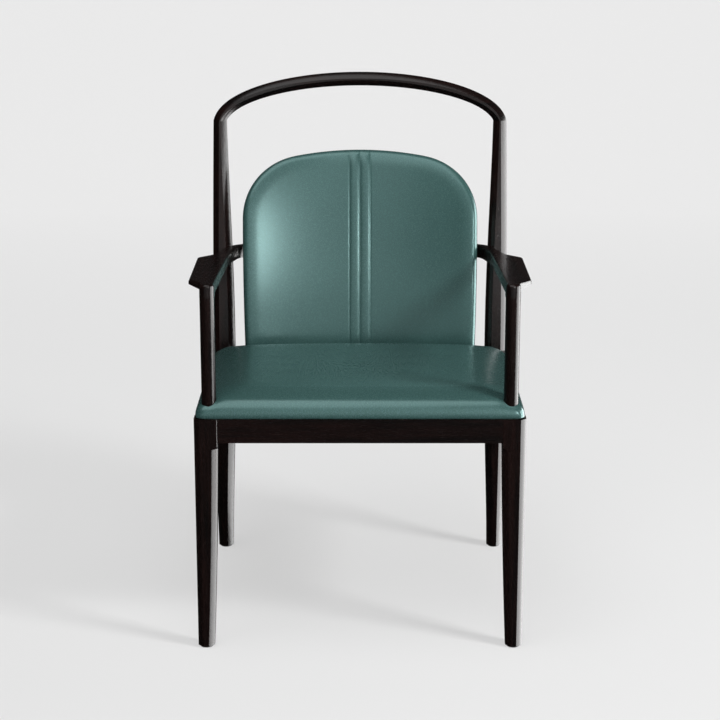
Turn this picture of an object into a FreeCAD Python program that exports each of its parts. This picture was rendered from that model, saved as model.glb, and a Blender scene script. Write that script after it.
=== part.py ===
"""Armchair: wood frame with horseshoe arms, leather seat cushion and curved leather back."""

import FreeCAD
import Part
import math
import os

V = FreeCAD.Vector
X_AXIS = V(1, 0, 0)
Y_AXIS = V(0, 1, 0)
Z_AXIS = V(0, 0, 1)
LEVEL_TOLERANCE = 0.01

# Seat frame, in millimetres. A setback is a distance behind the front face of the front legs.
FRAME_WIDTH = 564.0
SEAT_FRAME_TOP = 414.0
RAIL_HEIGHT = 41.0
RAIL_THICK = 24.0
RAIL_INSET = 1.0
REAR_RAIL_STEP = 9.0
TENON_LENGTH = 19.0
TENON_THICK = 10.0
TENON_SHOULDER = 7.0
TENON_FIT = 0.15
TENON_END_GAP = 0.8
TENON_CLEAR = 3.0

# Share of a full quarter round that the facets along the legs and top rail bulge by
FACET_BULGE = 0.3

# Front legs, each with its arm post
FRONT_LEG_WIDTH = 40.0
FRONT_LEG_BLOCK = 48.0
FRONT_LEG_FACET = 9.7
FRONT_LEG_ARRIS = 1.0
FRONT_FACET_STOP = 5.0
FRONT_KNEE_HEIGHT = 200.0
FRONT_KNEE_WIDTH = 36.0
FOOT_WIDTH = 28.5
POST_DIAMETER = 25.0
POST_INSET = 25.7
POST_SETBACK = 22.0
POST_TENON_DIAMETER = 14.0
POST_TENON_LENGTH = 14.0

# Rear legs
REAR_SEAT_SETBACK = 489.0
REAR_FOOT_SPLAY = 35.0
REAR_KNEE_SPLAY = 1.8
REAR_ARM_SPLAY = 27.0
REAR_TOP_SPLAY = 91.0
REAR_KNEE_HEIGHT = 200.0
REAR_KNEE_WIDTH = 36.0
REAR_KNEE_DEPTH = 38.5
REAR_SEAT_WIDTH = 40.5
REAR_SEAT_DEPTH = 42.0
REAR_ARM_WIDTH = 36.5
REAR_ARM_DEPTH = 38.0
REAR_TOP_WIDTH = 25.5
REAR_TOP_DEPTH = 26.0
REAR_TOP_HEIGHT = 846.0
REAR_FOOT_FACET = 9.7
REAR_LEG_FACET = 11.5

# Top rail
TOP_RAIL_RISE = 88.9
TOP_RAIL_FULLNESS = 0.92
TOP_RAIL_THICK = 26.0
TOP_RAIL_DIP = 11.0
TOP_RAIL_BOW = 14.0
TOP_RAIL_SECTIONS = 13
TOP_DOWEL_DIAMETER = 8.0
TOP_DOWEL_UP = 13.0
TOP_DOWEL_DOWN = 22.0
TOP_DOWEL_TILT = 10.0

# Arms and back rail, one flat horseshoe that slopes down to the back
ARM_HEIGHT = 644.5
RING_DROP = 33.0
ARM_THICK = 23.0
WING_EDGE_THICK = 7.0
WING_ROOT_THICK = 16.0
WING_FRONT_OVERHANG = 9.4
WING_REAR_OVERHANG = 17.1
WING_START_SETBACK = 37.0
WING_FRONT_SETBACK = 75.0
WING_REAR_RUN = 43.0
WING_START_ROUND = 6.0
WING_FRONT_ROUND = 8.0
WING_REAR_ROUND = 12.0
WING_CLEAR = 1.0
WING_RUN_OUT = 50.0
NECK_INSET = 10.0
NECK_RUN = 125.0
NECK_CORNER_INSET = 33.0
NECK_OUTER_ROUND = 40.0
NECK_INNER_ROUND = 60.0
NECK_BEND_SHARE = 0.999
ARM_NOSE_FLAT = 0.1
RING_THICK = 22.0
RING_JOINT_INSET = 84.6
ARM_TOP_ROUND = 4.5
ARM_EDGE_ROUND = 3.0
ARM_DOWEL_DIAMETER = 8.0
ARM_DOWEL_LENGTH = 40.0

# Back panel
BACK_SIDE_GAP = 58.4
BACK_BOTTOM_NARROWING = 5.2
BACK_TOP = 795.0
BACK_EDGE_TILT = 16.0
BACK_CORNER = 125.0
BACK_TOP_RADIUS = 592.0
BACK_FORWARD = 20.0
BACK_BOTTOM_LEAN = 6.0
BACK_PROFILE_RADIUS = 1900.0
BACK_PLAN_RADIUS = 840.0
BACK_FOAM_THICK = 20.0
BACK_BOARD_THICK = 12.0
BACK_REAR_THICK = 4.5
BACK_FRONT_ROUND = 14.0
BACK_REAR_ROUND = 3.0
BACK_GAP = 0.3
BACK_SPACER = 12.0
BACK_SPACER_DIAMETER = 24.0
BACK_SPARE_TURN = 1.5
RIB_PITCH = 20.0
RIB_WIDTH = 12.0
RIB_RAISE = 2.0
RIB_COUNT = 2
LEATHER = 1.6

# Seat cushion
CUSHION_INSET = 2.0
CUSHION_REAR_GAP = 17.0
CUSHION_TILT = 1.26
CUSHION_REAR_RADIUS = 1700.0
CUSHION_REAR_CORNER = 60.0
CUSHION_FRONT_CORNER = 13.0
CUSHION_CORNER_GROWTH = 0.2
CUSHION_TUCK = 2.0
CUSHION_BULGE_HEIGHT = 4.5
CUSHION_EDGE_RADIUS = 31.0
CUSHION_EDGE_TURN = 70.0
CUSHION_EDGE_STEPS = 5
CUSHION_CROWN = 12.0
CUSHION_CROWN_RUN = 66.0
CUSHION_CROWN_STEPS = 5
CUSHION_GAP = 0.3
CUSHION_POST_FIT = 0.5
SEAT_BOARD_THICK = 12.0
DUST_COVER_THICK = 1.0
DUST_COVER_GAP = 1.0

# Corner blocks and fixings
BLOCK_FRONT_LENGTH = 72.0
BLOCK_SIDE_LENGTH = 72.0
BLOCK_HEIGHT = 34.0
BLOCK_LEG_GAP = 0.5
SCREW_DIAMETER = 4.5
SCREW_HEAD_DIAMETER = 9.0
SCREW_HEAD_THICK = 3.0
SCREW_FIT = 0.1
SCREW_HEAD_FIT = 0.4
BLOCK_SCREW_EDGE = 26.0
BLOCK_SCREW_BITE = 16.0
SEAT_SCREW_EDGE = 16.0
SEAT_SCREW_BITE = 9.0
BACK_SCREW_OFFSET = 70.0
BACK_SCREW_BITE = 9.0
BACK_DOWEL_OFFSET = 140.0
BACK_DOWEL_DIAMETER = 6.0
BACK_DOWEL_BITE = 16.0
BOLT_DIAMETER = 6.0
BOLT_HEAD_DIAMETER = 11.0
BOLT_HEAD_THICK = 4.0
BOLT_HEAD_DEPTH = 12.0
BOLT_BITE = 36.0
PLUG_END = 20.0
GLIDE_DIAMETER = 22.0
GLIDE_THICK = 3.0
GLIDE_PIN_DIAMETER = 4.0
GLIDE_PIN_LENGTH = 15.0

# Values worked out from the driving dimensions
HALF_WIDTH = FRAME_WIDTH / 2
POST_OFFSET = HALF_WIDTH - POST_INSET
WING_FRONT_OFFSET = HALF_WIDTH + WING_FRONT_OVERHANG
WING_REAR_OFFSET = HALF_WIDTH + WING_REAR_OVERHANG
NECK_OFFSET = HALF_WIDTH - NECK_INSET
NECK_CORNER_OFFSET = HALF_WIDTH - NECK_CORNER_INSET
RING_JOINT_OFFSET = HALF_WIDTH - RING_JOINT_INSET
RING_BACK_HEIGHT = ARM_HEIGHT - RING_DROP
BACK_WIDTH = FRAME_WIDTH - 2 * BACK_SIDE_GAP
REAR_RAIL_SETBACK = REAR_SEAT_SETBACK - REAR_RAIL_STEP
REAR_FOOT_SETBACK = REAR_SEAT_SETBACK + REAR_FOOT_SPLAY
REAR_KNEE_SETBACK = REAR_SEAT_SETBACK + REAR_KNEE_SPLAY
REAR_ARM_SETBACK = REAR_SEAT_SETBACK + REAR_ARM_SPLAY
REAR_TOP_SETBACK = REAR_SEAT_SETBACK + REAR_TOP_SPLAY
NECK_SETBACK = REAR_ARM_SETBACK - NECK_RUN
WING_REAR_SETBACK = NECK_SETBACK - WING_REAR_RUN
BACK_SETBACK = REAR_SEAT_SETBACK - BACK_FORWARD
CUSHION_REAR_SETBACK = BACK_SETBACK - CUSHION_REAR_GAP
RAIL_BOTTOM = SEAT_FRAME_TOP - RAIL_HEIGHT
RAIL_MIDDLE = SEAT_FRAME_TOP - RAIL_HEIGHT / 2
POST_RADIUS = POST_DIAMETER / 2
BACK_BOTTOM = SEAT_FRAME_TOP + BACK_GAP
BACK_THICK = LEATHER + BACK_FOAM_THICK + BACK_BOARD_THICK + BACK_REAR_THICK
BOARD_FRONT = LEATHER + BACK_FOAM_THICK
BOARD_BACK = BOARD_FRONT + BACK_BOARD_THICK
RIB_RADIUS = (RIB_WIDTH ** 2 / 4 + RIB_RAISE ** 2) / (2 * RIB_RAISE)


def back_lean(height):
    """Lean of the back panel's front face at a height, in radians."""
    lowest = math.sin(math.radians(BACK_BOTTOM_LEAN))
    return math.asin(lowest + (height - BACK_BOTTOM) / BACK_PROFILE_RADIUS)


def back_setback(height, depth=0.0, offset=0.0):
    """Setback of the layer at a depth behind the front face, at a height and a sideways offset."""
    lean = back_lean(height)
    lowest = math.cos(math.radians(BACK_BOTTOM_LEAN))
    bulge = BACK_PROFILE_RADIUS * (lowest - math.cos(lean))
    radius = BACK_PLAN_RADIUS + depth
    wrap = radius - math.sqrt(radius ** 2 - offset ** 2)
    return BACK_SETBACK + bulge + depth / math.cos(lean) - wrap


RING_FRONT_SETBACK = back_setback(RING_BACK_HEIGHT, BACK_THICK) + BACK_SPACER
RING_SLOPE = math.atan(RING_DROP / (RING_FRONT_SETBACK - POST_SETBACK))
RING_OUTER_RADIUS = BACK_PLAN_RADIUS + BACK_THICK + BACK_SPACER + RING_THICK
REAR_ARM_HEIGHT = ARM_HEIGHT - (REAR_ARM_SETBACK - POST_SETBACK) * math.tan(RING_SLOPE) - ARM_THICK / 2
TOP_LEAN = math.atan((REAR_TOP_SETBACK - REAR_ARM_SETBACK) / (REAR_TOP_HEIGHT - REAR_ARM_HEIGHT))
TOP_RAIL_SET = (TOP_RAIL_RISE - TOP_RAIL_THICK / 2) * math.tan(TOP_LEAN)
OVERALL_DEPTH = REAR_TOP_SETBACK + TOP_RAIL_SET + TOP_RAIL_BOW + REAR_TOP_DEPTH / 2


def back(setback):
    """Y of a setback: the origin lies half way between the front and the back of the chair."""
    return setback - OVERALL_DEPTH / 2


def box(x0, x1, y0, y1, z0, z1):
    return Part.makeBox(x1 - x0, y1 - y0, z1 - z0, V(x0, y0, z0))


def rod(start, direction, length, diameter):
    return Part.makeCylinder(diameter / 2, length, start, direction)


def mirrored(shape):
    """The same piece on the chair's left."""
    return shape.mirror(V(0, 0, 0), X_AXIS)


def both(shape):
    return [shape, mirrored(shape)]


def largest(shape):
    """The biggest solid of a cut shape."""
    return max(shape.Solids, key=lambda solid: solid.Volume)


def line(a, b):
    return Part.LineSegment(a, b).toShape()


def arc(a, middle, b):
    return Part.Arc(a, middle, b).toShape()


def faceted_section(center, u, v, half_u, half_v, facets):
    """Closed wire of four sides and four slightly bulging corner facets, in the plane of u and v."""
    edges = []
    previous = None
    first = None
    corners = ((1, 1), (-1, 1), (-1, -1), (1, -1))
    middle_share = 0.5 + FACET_BULGE * (math.sqrt(0.5) - 0.5)
    for (sign_u, sign_v), facet in zip(corners, facets):
        hub = center + u * (sign_u * (half_u - facet)) + v * (sign_v * (half_v - facet))
        on_u = hub + u * (sign_u * facet)
        on_v = hub + v * (sign_v * facet)
        middle = hub + (u * sign_u + v * sign_v) * (facet * middle_share)
        start, end = (on_u, on_v) if sign_u == sign_v else (on_v, on_u)
        if previous is not None:
            edges.append(line(previous, start))
        else:
            first = start
        edges.append(arc(start, middle, end))
        previous = end
    edges.append(line(previous, first))
    return Part.Wire(edges)


def filleted_outline(corners):
    """Closed wire through (x, y, radius) corners, each rounded by its radius."""
    edges = []
    ends = []
    count = len(corners)
    for i in range(count):
        x, y, radius = corners[i]
        here = V(x, y, 0)
        to_last = (V(corners[i - 1][0], corners[i - 1][1], 0) - here).normalize()
        following = corners[(i + 1) % count]
        to_next = (V(following[0], following[1], 0) - here).normalize()
        if radius == 0:
            ends.append((here, None, here))
            continue
        half = to_last.getAngle(to_next) / 2
        reach = radius / math.tan(half)
        bisector = (to_last + to_next).normalize()
        middle = here + bisector * (radius / math.sin(half) - radius)
        ends.append((here + to_last * reach, middle, here + to_next * reach))
    for i in range(count):
        start, middle, end = ends[i]
        if middle is not None:
            edges.append(arc(start, middle, end))
        edges.append(line(end, ends[(i + 1) % count][0]))
    return Part.Wire(edges)


def arched_corner(half, apex, arch_radius, corner_radius):
    """Centre of a corner arc between an upright side and an arch, and the point where they meet."""
    across = half - corner_radius
    arch_center = apex - arch_radius
    rise = math.sqrt((arch_radius - corner_radius) ** 2 - across ** 2)
    scale = corner_radius / (arch_radius - corner_radius)
    center = (across, arch_center + rise)
    meeting = (across * (1 + scale), center[1] + rise * scale)
    return center, meeting


def front_leg_section(height, width, facets):
    center = V(HALF_WIDTH - width / 2, back(width / 2), height)
    return faceted_section(center, X_AXIS, Y_AXIS, width / 2, width / 2, facets)


def front_leg_blank():
    """Right front leg with its arm post, before its mortises."""
    outer = FRONT_LEG_FACET
    inner = FRONT_LEG_ARRIS
    block_bottom = SEAT_FRAME_TOP - FRONT_LEG_BLOCK
    block_section = front_leg_section(block_bottom, FRONT_LEG_WIDTH, (outer, inner, inner, outer))
    stop = front_leg_section(block_bottom - FRONT_FACET_STOP, FRONT_LEG_WIDTH, (outer,) * 4)
    knee = front_leg_section(FRONT_KNEE_HEIGHT, FRONT_KNEE_WIDTH, (outer,) * 4)
    foot = front_leg_section(GLIDE_THICK, FOOT_WIDTH, (outer,) * 4)
    taper = Part.makeLoft([foot, knee, stop], True)
    run_out = Part.makeLoft([stop, block_section], True, True)
    block = Part.Face(block_section).extrude(Z_AXIS * FRONT_LEG_BLOCK)
    base = V(POST_OFFSET, back(POST_SETBACK), SEAT_FRAME_TOP - FRONT_LEG_BLOCK / 2)
    post = rod(base, Z_AXIS, ARM_HEIGHT - base.z, POST_DIAMETER).cut(above_arm_underside())
    tenon = rod(base, Z_AXIS, ARM_HEIGHT - ARM_THICK + POST_TENON_LENGTH - base.z, POST_TENON_DIAMETER)
    return taper.fuse([run_out, block, post, tenon]).removeSplitter()


def rear_leg_section(height, setback, width, depth, facet):
    center = V(HALF_WIDTH - width / 2, back(setback), height)
    return faceted_section(center, X_AXIS, Y_AXIS, width / 2, depth / 2, (facet,) * 4)


def rear_leg_blank():
    """Right rear leg and back post, before its mortises."""
    sections = [
        rear_leg_section(GLIDE_THICK, REAR_FOOT_SETBACK, FOOT_WIDTH, FOOT_WIDTH, REAR_FOOT_FACET),
        rear_leg_section(
            REAR_KNEE_HEIGHT, REAR_KNEE_SETBACK, REAR_KNEE_WIDTH, REAR_KNEE_DEPTH, REAR_LEG_FACET,
        ),
        rear_leg_section(RAIL_MIDDLE, REAR_SEAT_SETBACK, REAR_SEAT_WIDTH, REAR_SEAT_DEPTH, REAR_LEG_FACET),
        rear_leg_section(REAR_ARM_HEIGHT, REAR_ARM_SETBACK, REAR_ARM_WIDTH, REAR_ARM_DEPTH, REAR_LEG_FACET),
        rear_leg_section(REAR_TOP_HEIGHT, REAR_TOP_SETBACK, REAR_TOP_WIDTH, REAR_TOP_DEPTH, REAR_LEG_FACET),
    ]
    return Part.makeLoft(sections, True)


def top_rail_blank():
    """Arched rail: its ends are level and match the tops of the rear posts."""
    inner_half = HALF_WIDTH - REAR_TOP_WIDTH
    base = REAR_TOP_HEIGHT - TOP_RAIL_DIP
    outer_rise = TOP_RAIL_RISE + TOP_RAIL_DIP
    inner_rise = outer_rise - TOP_RAIL_THICK
    outer_start = math.asin((TOP_RAIL_DIP / outer_rise) ** (1 / TOP_RAIL_FULLNESS))
    inner_start = math.asin(TOP_RAIL_DIP / inner_rise)
    end_half = HALF_WIDTH - REAR_TOP_WIDTH / 2
    sections = []
    for i in range(TOP_RAIL_SECTIONS):
        share = i / (TOP_RAIL_SECTIONS - 1)
        outer_turn = outer_start + share * (math.pi - 2 * outer_start)
        inner_turn = inner_start + share * (math.pi - 2 * inner_start)
        outer_x = HALF_WIDTH * math.cos(outer_turn) / math.cos(outer_start)
        inner_x = inner_half * math.cos(inner_turn) / math.cos(inner_start)
        outer = V(outer_x, 0, base + outer_rise * math.sin(outer_turn) ** TOP_RAIL_FULLNESS)
        inner = V(inner_x, 0, base + inner_rise * math.sin(inner_turn))
        center = (outer + inner) * 0.5
        lean = (center.z - REAR_TOP_HEIGHT) * math.tan(TOP_LEAN)
        bow = TOP_RAIL_BOW * (1 - (center.x / end_half) ** 2)
        center.y = back(REAR_TOP_SETBACK + lean + bow)
        across = (outer - inner) * 0.5
        facets = (REAR_LEG_FACET,) * 4
        radial = V(across).normalize()
        section = faceted_section(center, radial, Y_AXIS, across.Length, REAR_TOP_DEPTH / 2, facets)
        sections.append(section)
    return Part.makeLoft(sections, True)


def on_ring(shape):
    """Place a shape drawn flat, with the arms' top face at zero, in the sloping plane of the arms."""
    shape.rotate(V(0, back(POST_SETBACK), 0), X_AXIS, -math.degrees(RING_SLOPE))
    shape.translate(Z_AXIS * ARM_HEIGHT)
    return shape


def flat_back(setback):
    """Y of a setback in the flat drawing of the arms, before it slopes."""
    return back(POST_SETBACK + (setback - POST_SETBACK) / math.cos(RING_SLOPE))


def above_arm_underside():
    """Everything over the underside of the arms, around the arm posts."""
    reach = 2 * POST_DIAMETER
    y = back(POST_SETBACK)
    return on_ring(box(0, FRAME_WIDTH, y - reach, y + reach, -ARM_THICK, reach))


def ring_joint():
    """Outer point of the joint between arm and back rail in the flat drawing, and its directions."""
    turn = math.asin(RING_JOINT_OFFSET / RING_OUTER_RADIUS)
    center_y = flat_back(RING_FRONT_SETBACK) + RING_THICK - RING_OUTER_RADIUS
    outward = V(math.sin(turn), math.cos(turn), 0)
    along = V(math.cos(turn), -math.sin(turn), 0)
    point = V(0, center_y, 0) + outward * RING_OUTER_RADIUS
    return point, outward, along


def arm_outline():
    """Outline of the right arm in the flat drawing."""
    joint, outward, along = ring_joint()
    neck = V(NECK_OFFSET, flat_back(NECK_SETBACK), 0)
    corner = joint + along * ((NECK_CORNER_OFFSET - joint.x) / along.x)
    down_neck = (neck - corner).normalize()
    half = down_neck.getAngle(-along) / 2
    reach = (joint - corner).Length
    outer_radius = reach * math.tan(half)
    inner_corner = corner + (down_neck - along).normalize() * (RING_THICK / math.sin(half))
    joint_inside = joint - outward * RING_THICK
    inside = POST_OFFSET - POST_RADIUS
    meet = inner_corner + down_neck * ((inside - inner_corner.x) / down_neck.x)
    front = back(POST_SETBACK) - POST_RADIUS
    nose = POST_RADIUS - ARM_NOSE_FLAT
    outer_nose = POST_OFFSET + POST_RADIUS
    return filleted_outline([
        (inside, front, nose),
        (outer_nose, front, nose),
        (outer_nose, flat_back(WING_START_SETBACK), WING_START_ROUND),
        (WING_FRONT_OFFSET, flat_back(WING_FRONT_SETBACK), WING_FRONT_ROUND),
        (WING_REAR_OFFSET, flat_back(WING_REAR_SETBACK), WING_REAR_ROUND),
        (neck.x, neck.y, NECK_OUTER_ROUND),
        (corner.x, corner.y, outer_radius * NECK_BEND_SHARE),
        (joint.x, joint.y, 0),
        (joint_inside.x, joint_inside.y, 0),
        (inner_corner.x, inner_corner.y, (outer_radius - RING_THICK) * NECK_BEND_SHARE),
        (meet.x, meet.y, NECK_INNER_ROUND),
    ])


def loop_edges(shape, level):
    """Edges of a flat piece that lie wholly at one level."""
    found = []
    for edge in shape.Edges:
        if abs(edge.BoundBox.ZMin - level) + abs(edge.BoundBox.ZMax - level) < LEVEL_TOLERANCE:
            found.append(edge)
    return found


def wing_undercut():
    """What is planed off under the right arm's wing, in the flat drawing."""
    inside = POST_OFFSET - POST_RADIUS
    outside = WING_REAR_OFFSET + WING_EDGE_THICK
    slope = (WING_ROOT_THICK - WING_EDGE_THICK) / (WING_REAR_OFFSET - inside)
    outside_level = -WING_EDGE_THICK + slope * (outside - WING_REAR_OFFSET)
    inside_level = -WING_ROOT_THICK - slope * WING_CLEAR
    low = -2 * ARM_THICK
    start = back(POST_SETBACK) + POST_RADIUS + WING_CLEAR
    end = flat_back(NECK_SETBACK)
    profile = Part.makePolygon([
        V(inside - WING_CLEAR, start, low),
        V(outside, start, low),
        V(outside, start, outside_level),
        V(inside - WING_CLEAR, start, inside_level),
        V(inside - WING_CLEAR, start, low),
    ])
    across = Part.Face(profile).extrude(Y_AXIS * (end - start))
    run_out = Part.makePolygon([
        V(0, start, low),
        V(0, start, 0),
        V(0, end - WING_RUN_OUT, 0),
        V(0, end + WING_RUN_OUT, low),
        V(0, start, low),
    ])
    along = Part.Face(run_out).extrude(X_AXIS * (2 * outside))
    return across.common(along)


def arm_blank():
    """Right armrest, before its mortise and bores."""
    plank = Part.Face(arm_outline()).extrude(Z_AXIS * -ARM_THICK)
    plank = plank.makeFillet(ARM_TOP_ROUND, loop_edges(plank, 0))
    return on_ring(plank.cut(wing_undercut()))


def back_rail_blank():
    """Rear of the horseshoe, between the two arms."""
    joint, outward, along = ring_joint()
    inside = joint - outward * RING_THICK
    rear = V(0, flat_back(RING_FRONT_SETBACK) + RING_THICK, 0)
    front = V(0, flat_back(RING_FRONT_SETBACK), 0)
    other = V(-joint.x, joint.y, 0)
    other_inside = V(-inside.x, inside.y, 0)
    outline = Part.Wire([
        arc(joint, rear, other),
        line(other, other_inside),
        arc(other_inside, front, inside),
        line(inside, joint),
    ])
    bar = Part.Face(outline).extrude(Z_AXIS * -ARM_THICK)
    edges = []
    for edge in bar.Edges:
        if abs(edge.BoundBox.ZLength) < LEVEL_TOLERANCE and edge.BoundBox.XLength > joint.x:
            edges.append(edge)
    return on_ring(bar.makeFillet(ARM_EDGE_ROUND, edges))


def tenon_box(x0, x1, y0, y1, grow=0.0, end=0.0):
    """Tenon of a seat rail; grow and end widen it into its mortise."""
    low = RAIL_BOTTOM + TENON_SHOULDER - grow
    high = SEAT_FRAME_TOP - TENON_SHOULDER + grow
    return box(x0, x1 + end, y0 - grow, y1 + grow, low, high)


def front_tenon(grow=0.0, end=0.0):
    """Right tenon of the front rail."""
    x = HALF_WIDTH - FRONT_LEG_WIDTH
    y = back(RAIL_INSET + RAIL_THICK / 2)
    return tenon_box(x, x + TENON_LENGTH, y - TENON_THICK / 2, y + TENON_THICK / 2, grow, end)


def rear_tenon(grow=0.0, end=0.0):
    """Right tenon of the rear rail, from inside the rail so that it reaches past its shoulder."""
    x = HALF_WIDTH - REAR_SEAT_WIDTH
    y = back(REAR_RAIL_SETBACK + RAIL_THICK / 2)
    start = x - TENON_LENGTH / 2
    return tenon_box(start, x + TENON_LENGTH, y - TENON_THICK / 2, y + TENON_THICK / 2, grow, end)


def side_tenons(grow=0.0, end=0.0):
    """Front and rear tenon of the right side rail."""
    x = HALF_WIDTH - FRONT_LEG_WIDTH + TENON_LENGTH + TENON_CLEAR
    low = RAIL_BOTTOM + TENON_SHOULDER - grow
    high = SEAT_FRAME_TOP - TENON_SHOULDER + grow
    front = back(FRONT_LEG_WIDTH)
    rear = back(REAR_SEAT_SETBACK - REAR_SEAT_DEPTH / 2)
    sides = (x - grow, x + TENON_THICK + grow)
    return [
        box(*sides, front - TENON_LENGTH - end, front + TENON_LENGTH / 2, low, high),
        box(*sides, rear - TENON_LENGTH / 2, rear + TENON_LENGTH + end, low, high),
    ]


def front_rail():
    reach = HALF_WIDTH - FRONT_LEG_WIDTH
    y = back(RAIL_INSET)
    bar = box(-reach, reach, y, y + RAIL_THICK, RAIL_BOTTOM, SEAT_FRAME_TOP)
    return bar.fuse([front_tenon(), mirrored(front_tenon())])


def rear_rail(leg):
    y = back(REAR_RAIL_SETBACK)
    reach = HALF_WIDTH - REAR_SEAT_WIDTH / 2
    bar = box(-reach, reach, y, y + RAIL_THICK, RAIL_BOTTOM, SEAT_FRAME_TOP)
    bar = largest(bar.cut([leg, mirrored(leg)]))
    return bar.fuse([rear_tenon(), mirrored(rear_tenon())])


def side_rail(rear_leg):
    """Right side rail, its rear shoulder scribed to the curved rear leg."""
    outside = HALF_WIDTH - RAIL_INSET
    front = back(FRONT_LEG_WIDTH)
    rear = back(REAR_SEAT_SETBACK)
    bar = box(outside - RAIL_THICK, outside, front, rear, RAIL_BOTTOM, SEAT_FRAME_TOP)
    return largest(bar.cut(rear_leg)).fuse(side_tenons())


def back_layer(front_depth, rear_depth):
    """Curved slab of the back panel between two depths behind its front face, not yet trimmed."""
    lean = math.radians(BACK_BOTTOM_LEAN)
    hub = V(0, back(BACK_SETBACK), BACK_BOTTOM)
    hub = hub + V(0, math.cos(lean), -math.sin(lean)) * BACK_PROFILE_RADIUS
    spare = math.radians(BACK_SPARE_TURN)
    low = back_lean(BACK_BOTTOM) - spare
    high = back_lean(BACK_TOP) + spare

    def at(turn, depth):
        return hub + V(0, -math.cos(turn), math.sin(turn)) * (BACK_PROFILE_RADIUS - depth)

    mid = (low + high) / 2
    profile = Part.Wire([
        arc(at(low, front_depth), at(mid, front_depth), at(high, front_depth)),
        line(at(high, front_depth), at(high, rear_depth)),
        arc(at(high, rear_depth), at(mid, rear_depth), at(low, rear_depth)),
        line(at(low, rear_depth), at(low, front_depth)),
    ])
    axis_point = at(mid, -BACK_PLAN_RADIUS)
    axis = V(0, math.sin(mid), math.cos(mid))
    half_turn = math.degrees(math.asin(BACK_WIDTH / 2 / BACK_PLAN_RADIUS)) + BACK_SPARE_TURN
    face = Part.Face(profile)
    face.rotate(axis_point, axis, -half_turn)
    return face.revolve(axis_point, axis, 2 * half_turn)


def back_outline(inset):
    """Outline of the back panel as a prism, square to the leaning face at its top."""
    tilt = math.radians(BACK_EDGE_TILT)

    def height(level):
        return back(back_setback(level)) * math.sin(tilt) + level * math.cos(tilt)

    half = BACK_WIDTH / 2 - inset
    top = height(BACK_TOP) - inset
    foot = height(BACK_BOTTOM) - BACK_THICK
    corner = BACK_CORNER - inset
    center, meeting = arched_corner(half, top, BACK_TOP_RADIUS - inset, corner)
    drop = center[1] - foot
    side_radius = (drop ** 2 + BACK_BOTTOM_NARROWING ** 2) / (2 * BACK_BOTTOM_NARROWING)
    middle_x = half - side_radius + math.sqrt(side_radius ** 2 - (drop / 2) ** 2)
    turn = math.atan2(meeting[1] - center[1], meeting[0] - center[0]) / 2
    low = V(half - BACK_BOTTOM_NARROWING, 0, foot)
    side_middle = V(middle_x, 0, foot + drop / 2)
    shoulder = V(half, 0, center[1])
    corner_middle = V(center[0] + corner * math.cos(turn), 0, center[1] + corner * math.sin(turn))
    meet = V(meeting[0], 0, meeting[1])
    right = [low, side_middle, shoulder, corner_middle, meet]
    left = [V(-p.x, 0, p.z) for p in right]
    outline = Part.Wire([
        arc(right[0], right[1], right[2]),
        arc(right[2], right[3], right[4]),
        arc(meet, V(0, 0, top), left[4]),
        arc(left[4], left[3], left[2]),
        arc(left[2], left[1], left[0]),
        line(left[0], right[0]),
    ])
    prism = Part.Face(outline).extrude(Y_AXIS * OVERALL_DEPTH)
    prism.translate(Y_AXIS * back(0))
    prism.rotate(V(0, 0, 0), X_AXIS, -BACK_EDGE_TILT)
    above = box(-HALF_WIDTH, HALF_WIDTH, back(0), -back(0), BACK_BOTTOM, BACK_TOP + BACK_THICK)
    return prism.common(above)


def round_panel(panel, radius, at_front):
    """Round the side and top edges of the panel's front or rear face."""
    largest_faces = sorted(panel.Faces, key=lambda face: face.Area)[-2:]
    largest_faces.sort(key=lambda face: face.CenterOfMass.y)
    face = largest_faces[0] if at_front else largest_faces[1]
    edges = []
    for edge in face.Edges:
        if edge.BoundBox.ZMax > BACK_BOTTOM + LEATHER:
            edges.append(edge)
    return panel.makeFillet(radius, edges)


def back_rib(offset, raise_by):
    """Low round rib up the front of the back panel."""
    lean = math.radians(BACK_BOTTOM_LEAN)
    hub = V(offset, back(BACK_SETBACK), BACK_BOTTOM)
    hub = hub + V(0, math.cos(lean), -math.sin(lean)) * BACK_PROFILE_RADIUS
    low = back_lean(BACK_BOTTOM) - math.radians(BACK_SPARE_TURN)
    high = back_lean(BACK_TOP)
    forward = V(0, -math.cos(low), math.sin(low))
    center = hub + forward * (BACK_PROFILE_RADIUS + raise_by - RIB_RADIUS)
    up = V(0, math.sin(low), math.cos(low))
    circle = Part.Circle(center, up, RIB_RADIUS).toShape()
    disc = Part.Face(Part.Wire([circle]))
    return disc.revolve(hub, X_AXIS, -math.degrees(high - low))


def back_pieces():
    """Board, foam, and front and rear cover of the back panel."""
    outer = back_outline(0)
    inner = back_outline(LEATHER)
    front = round_panel(back_layer(0, BOARD_BACK).common(outer), BACK_FRONT_ROUND, True)
    core = back_layer(LEATHER, BOARD_BACK).common(inner)
    core = round_panel(core, BACK_FRONT_ROUND - LEATHER, True)
    cover = front.cut(core)
    rolled = back_layer(-RIB_RAISE, BOARD_BACK).common(outer)
    rolled = round_panel(rolled, BACK_FRONT_ROUND + RIB_RAISE, True)
    for i in range(RIB_COUNT):
        offset = (i - (RIB_COUNT - 1) / 2) * RIB_PITCH
        rib = back_rib(offset, RIB_RAISE).common(rolled)
        cover = cover.fuse(rib.cut(back_layer(LEATHER, 2 * BOARD_BACK)))
    board = back_layer(BOARD_FRONT, BOARD_BACK).common(core)
    foam = core.cut(back_layer(BOARD_FRONT, 2 * BOARD_BACK))
    rear = back_layer(BOARD_BACK, BACK_THICK).common(outer)
    rear = round_panel(rear, BACK_REAR_ROUND, False)
    return board, foam, cover, rear


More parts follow.
